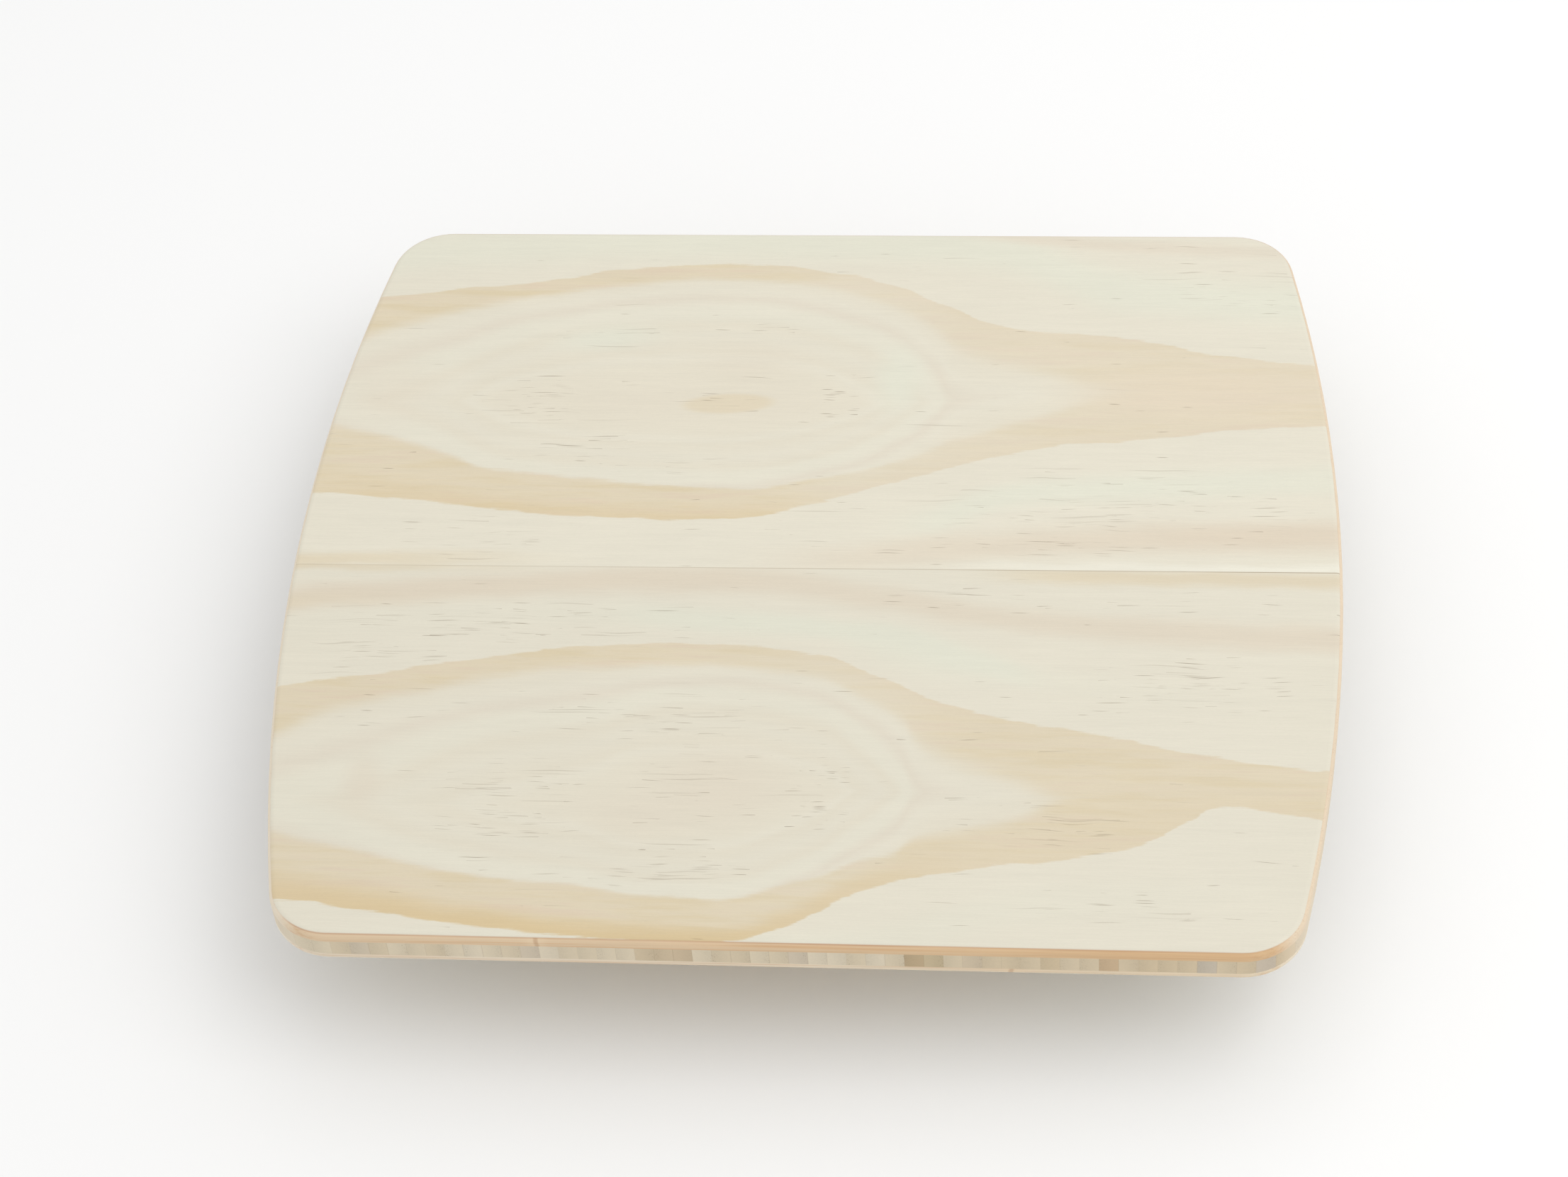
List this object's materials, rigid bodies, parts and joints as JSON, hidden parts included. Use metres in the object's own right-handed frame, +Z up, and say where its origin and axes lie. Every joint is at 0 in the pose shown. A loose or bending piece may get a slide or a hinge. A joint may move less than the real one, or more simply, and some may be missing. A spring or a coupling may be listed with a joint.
{
  "type": "balance board",
  "caption": "Barrel-shaped bamboo balance board on curved rockers that swivel under the deck to change its difficulty.",
  "frame": {"origin": "on the floor under the middle of the deck, with the board level and both rockers straight", "axes": "+X along the deck's width, in line with the straight rockers; -Y towards the front edge; +Z up"},
  "size_m": [0.508, 0.4572, 0.0805],
  "materials": {
    "pine_veneer": "matt lacquered rotary-cut pine",
    "pine_back": "matt lacquered pine",
    "bamboo_ply": "sanded and oiled, long grain along X",
    "bamboo_core": "sanded staves, end grain at the front",
    "laminated_bamboo": "satin oiled",
    "tread_rubber": "matt moulded",
    "bumper_rubber": "matt moulded",
    "black_steel": "black oxide",
    "zinc_steel": "bright zinc",
    "spring_steel": "oiled spring steel",
    "peg_steel": "ground",
    "insert_brass": "turned",
    "bushing_bronze": "sintered, oil filled",
    "white_uhmw": "waxy"
  },
  "bodies": {
    "deck": {"back_veneer": "pine_back", "bumper_screws": "zinc_steel", "bumper_washers": "zinc_steel", "disc_springs_front": "spring_steel", "disc_springs_rear": "spring_steel", "edge_bumper_front_left": "bumper_rubber", "edge_bumper_front_right": "bumper_rubber", "edge_bumper_rear_left": "bumper_rubber", "edge_bumper_rear_right": "bumper_rubber", "face_veneer_front_leaf": "pine_veneer", "face_veneer_rear_leaf": "pine_veneer", "lower_bamboo_ply": "bamboo_ply", "pivot_bolt_front": "black_steel", "pivot_bolt_rear": "black_steel", "pivot_insert_front": "insert_brass", "pivot_insert_rear": "insert_brass", "pivot_washer_front": "zinc_steel", "pivot_washer_rear": "zinc_steel", "stave_core": "bamboo_core", "stop_peg_front_left": "peg_steel", "stop_peg_front_right": "peg_steel", "stop_peg_rear_left": "peg_steel", "stop_peg_rear_right": "peg_steel", "upper_bamboo_ply": "bamboo_ply"},
    "front_rocker": {"glide_pad_front_left": "white_uhmw", "glide_pad_front_right": "white_uhmw", "pivot_bushing_front": "bushing_bronze", "rocker_front_inner_half": "laminated_bamboo", "rocker_front_outer_half": "laminated_bamboo", "rocker_tread_front": "tread_rubber", "thrust_washer_front": "white_uhmw"},
    "rear_rocker": {"glide_pad_rear_left": "white_uhmw", "glide_pad_rear_right": "white_uhmw", "pivot_bushing_rear": "bushing_bronze", "rocker_rear_inner_half": "laminated_bamboo", "rocker_rear_outer_half": "laminated_bamboo", "rocker_tread_rear": "tread_rubber", "thrust_washer_rear": "white_uhmw"}
  },
  "joints": [
    {"name": "front_rocker_swivel", "type": "hinge", "parent": "deck", "child": "front_rocker", "pos_m": [0, -0.12, 0], "axis": [0, 0, 1], "range_deg": [-45, 45]},
    {"name": "rear_rocker_swivel", "type": "hinge", "parent": "deck", "child": "rear_rocker", "pos_m": [0, 0.12, 0], "axis": [0, 0, 1], "range_deg": [-45, 45]}
  ]
}
